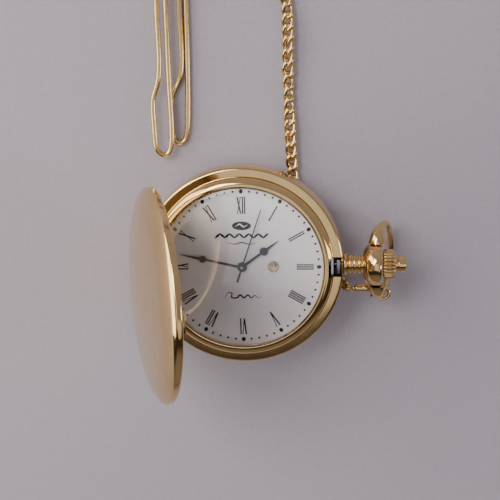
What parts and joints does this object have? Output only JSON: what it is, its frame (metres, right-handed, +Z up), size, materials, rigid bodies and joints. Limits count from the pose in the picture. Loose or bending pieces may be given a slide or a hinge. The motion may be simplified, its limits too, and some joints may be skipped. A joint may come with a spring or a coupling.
{
  "type": "pocket watch",
  "caption": "Round quartz pocket watch with a hinged hunter lid, folding bow, push crown, and a chain with a snap clasp and belt clip.",
  "frame": {"origin": "on the table, under the middle of the watch's box, without the chain and belt clip", "axes": "+Z up, +Y towards XII, +X towards the crown at III; the dial normal leans 9.2 degrees from +Z towards -X, because the case is propped on its folded bow"},
  "size_m": [0.0656, 0.1164, 0.0542],
  "materials": {
    "gold": "gold plate, polished",
    "glass": "clear mineral glass",
    "clear_plastic": "translucent",
    "rubber": "matt",
    "steel": "satin",
    "brass": "satin",
    "white_plastic": "moulded",
    "board": "solder mask",
    "copper": "wound wire",
    "dial_enamel": "satin lacquer",
    "blued_steel": "gloss blue-black lacquer"
  },
  "bodies": {
    "root": {"case_band": "gold", "bezel": "gold", "crystal": "glass", "crystal_gasket": "clear_plastic", "rehaut": "gold", "back_cover": "gold", "back_gasket": "rubber", "latch_spring": "steel", "case_knuckle_lower": "gold", "case_knuckle_upper": "gold", "hinge_pin": "steel", "pendant_tube": "gold", "pendant_head": "gold", "bow_pin_lower": "steel", "bow_pin_upper": "steel", "movement_holder": "white_plastic", "main_plate": "brass", "train_bridge": "brass", "circuit_board": "board", "battery": "steel", "battery_clip": "brass", "quartz_can": "steel", "stator": "steel", "coil": "copper", "dial": "dial_enamel", "date_window_rim": "gold", "chain": "gold", "belt_clip": "gold"},
    "lid": {"lid": "gold", "lid_catch": "gold", "lid_knuckle": "gold"},
    "sleeve": {"crown_sleeve": "brass"},
    "crown": {"crown": "gold", "stem": "steel"},
    "button": {"crown_button": "gold"},
    "latch": {"latch": "steel"},
    "bow": {"bow": "gold", "clasp_body": "gold"},
    "clasp_lever": {"clasp_lever": "gold"},
    "clasp_swivel": {"clasp_swivel": "gold"},
    "second_hand": {"second_hand": "blued_steel", "second_wheel": "brass"},
    "rotor": {"rotor": "steel"},
    "intermediate_wheel": {"intermediate_wheel": "brass"},
    "third_wheel": {"third_wheel": "brass"},
    "minute_hand": {"minute_hand": "blued_steel", "centre_wheel": "brass"},
    "minute_wheel": {"minute_wheel": "brass"},
    "hour_hand": {"hour_hand": "blued_steel", "hour_wheel": "brass"},
    "date_ring": {"date_ring": "white_plastic"}
  },
  "joints": [
    {"name": "lid_hinge", "type": "hinge", "parent": "root", "child": "lid", "pos_m": [-0.03028, 0, 0.00661], "axis": [0, 1, 0], "range_deg": [-22, 70]},
    {"name": "crown_pull", "type": "slide", "parent": "root", "child": "sleeve", "axis": [0.9871, 0, 0.1598], "range_m": [0, 0.001]},
    {"name": "crown_turn", "type": "hinge", "parent": "sleeve", "child": "crown", "pos_m": [-0.00583, 0, 0.00764], "axis": [0.9871, 0, 0.1598], "continuous": true},
    {"name": "button_press", "type": "slide", "parent": "crown", "child": "button", "axis": [-0.9871, 0, -0.1598], "range_m": [0, 0.0008], "stiffness_N_per_m": 500},
    {"name": "latch_slide", "type": "slide", "parent": "root", "child": "latch", "axis": [-0.9871, 0, -0.1598], "range_m": [0, 0.00025]},
    {"name": "bow_swing", "type": "hinge", "parent": "root", "child": "bow", "pos_m": [0.02566, 0, 0.01273], "axis": [0, -1, 0], "range_deg": [-16, 164]},
    {"name": "clasp_lever_swing", "type": "hinge", "parent": "bow", "child": "clasp_lever", "pos_m": [0.02502, -0.0076, 0.00858], "axis": [-0.1598, 0, 0.9871], "range_deg": [0, 20], "stiffness_Nm_per_rad": 0.0005},
    {"name": "clasp_swivel_turn", "type": "hinge", "parent": "bow", "child": "clasp_swivel", "pos_m": [0.01949, -0.0072, 0.00768], "axis": [0.9871, 0, 0.1598], "range_deg": [-90, 90]},
    {"name": "second_hand_turn", "type": "hinge", "parent": "root", "child": "second_hand", "pos_m": [-0.00583, 0, 0.00764], "axis": [0.1598, 0, -0.9871], "continuous": true},
    {"name": "rotor_turn", "type": "hinge", "parent": "root", "child": "rotor", "pos_m": [-0.00662, 0.00457, 0.00751], "axis": [0.1598, 0, -0.9871], "continuous": true},
    {"name": "intermediate_turn", "type": "hinge", "parent": "root", "child": "intermediate_wheel", "pos_m": [-0.00624, 0.00236, 0.00757], "axis": [0.1598, 0, -0.9871], "continuous": true},
    {"name": "third_wheel_turn", "type": "hinge", "parent": "root", "child": "third_wheel", "pos_m": [-0.00793, -0.00149, 0.0073], "axis": [0.1598, 0, -0.9871], "continuous": true},
    {"name": "minute_hand_turn", "type": "hinge", "parent": "root", "child": "minute_hand", "pos_m": [-0.00583, 0, 0.00764], "axis": [0.1598, 0, -0.9871], "continuous": true},
    {"name": "minute_wheel_turn", "type": "hinge", "parent": "root", "child": "minute_wheel", "pos_m": [-0.0036, 0.00082, 0.008], "axis": [0.1598, 0, -0.9871], "continuous": true},
    {"name": "hour_hand_turn", "type": "hinge", "parent": "root", "child": "hour_hand", "pos_m": [-0.00583, 0, 0.00764], "axis": [0.1598, 0, -0.9871], "continuous": true},
    {"name": "date_ring_turn", "type": "hinge", "parent": "root", "child": "date_ring", "pos_m": [-0.00583, 0, 0.00764], "axis": [0.1598, 0, -0.9871], "continuous": true}
  ],
  "couplings": [
    {"joint": "latch_slide", "follows": "button_press", "ratio": 0.3125},
    {"joint": "rotor_turn", "follows": "second_hand_turn", "ratio": 30},
    {"joint": "intermediate_turn", "follows": "second_hand_turn", "ratio": -5},
    {"joint": "third_wheel_turn", "follows": "second_hand_turn", "ratio": -0.13333},
    {"joint": "minute_hand_turn", "follows": "second_hand_turn", "ratio": 0.016667},
    {"joint": "minute_wheel_turn", "follows": "second_hand_turn", "ratio": -0.0055556},
    {"joint": "hour_hand_turn", "follows": "second_hand_turn", "ratio": 0.0013889},
    {"joint": "date_ring_turn", "follows": "second_hand_turn", "ratio": 0.000022401}
  ]
}
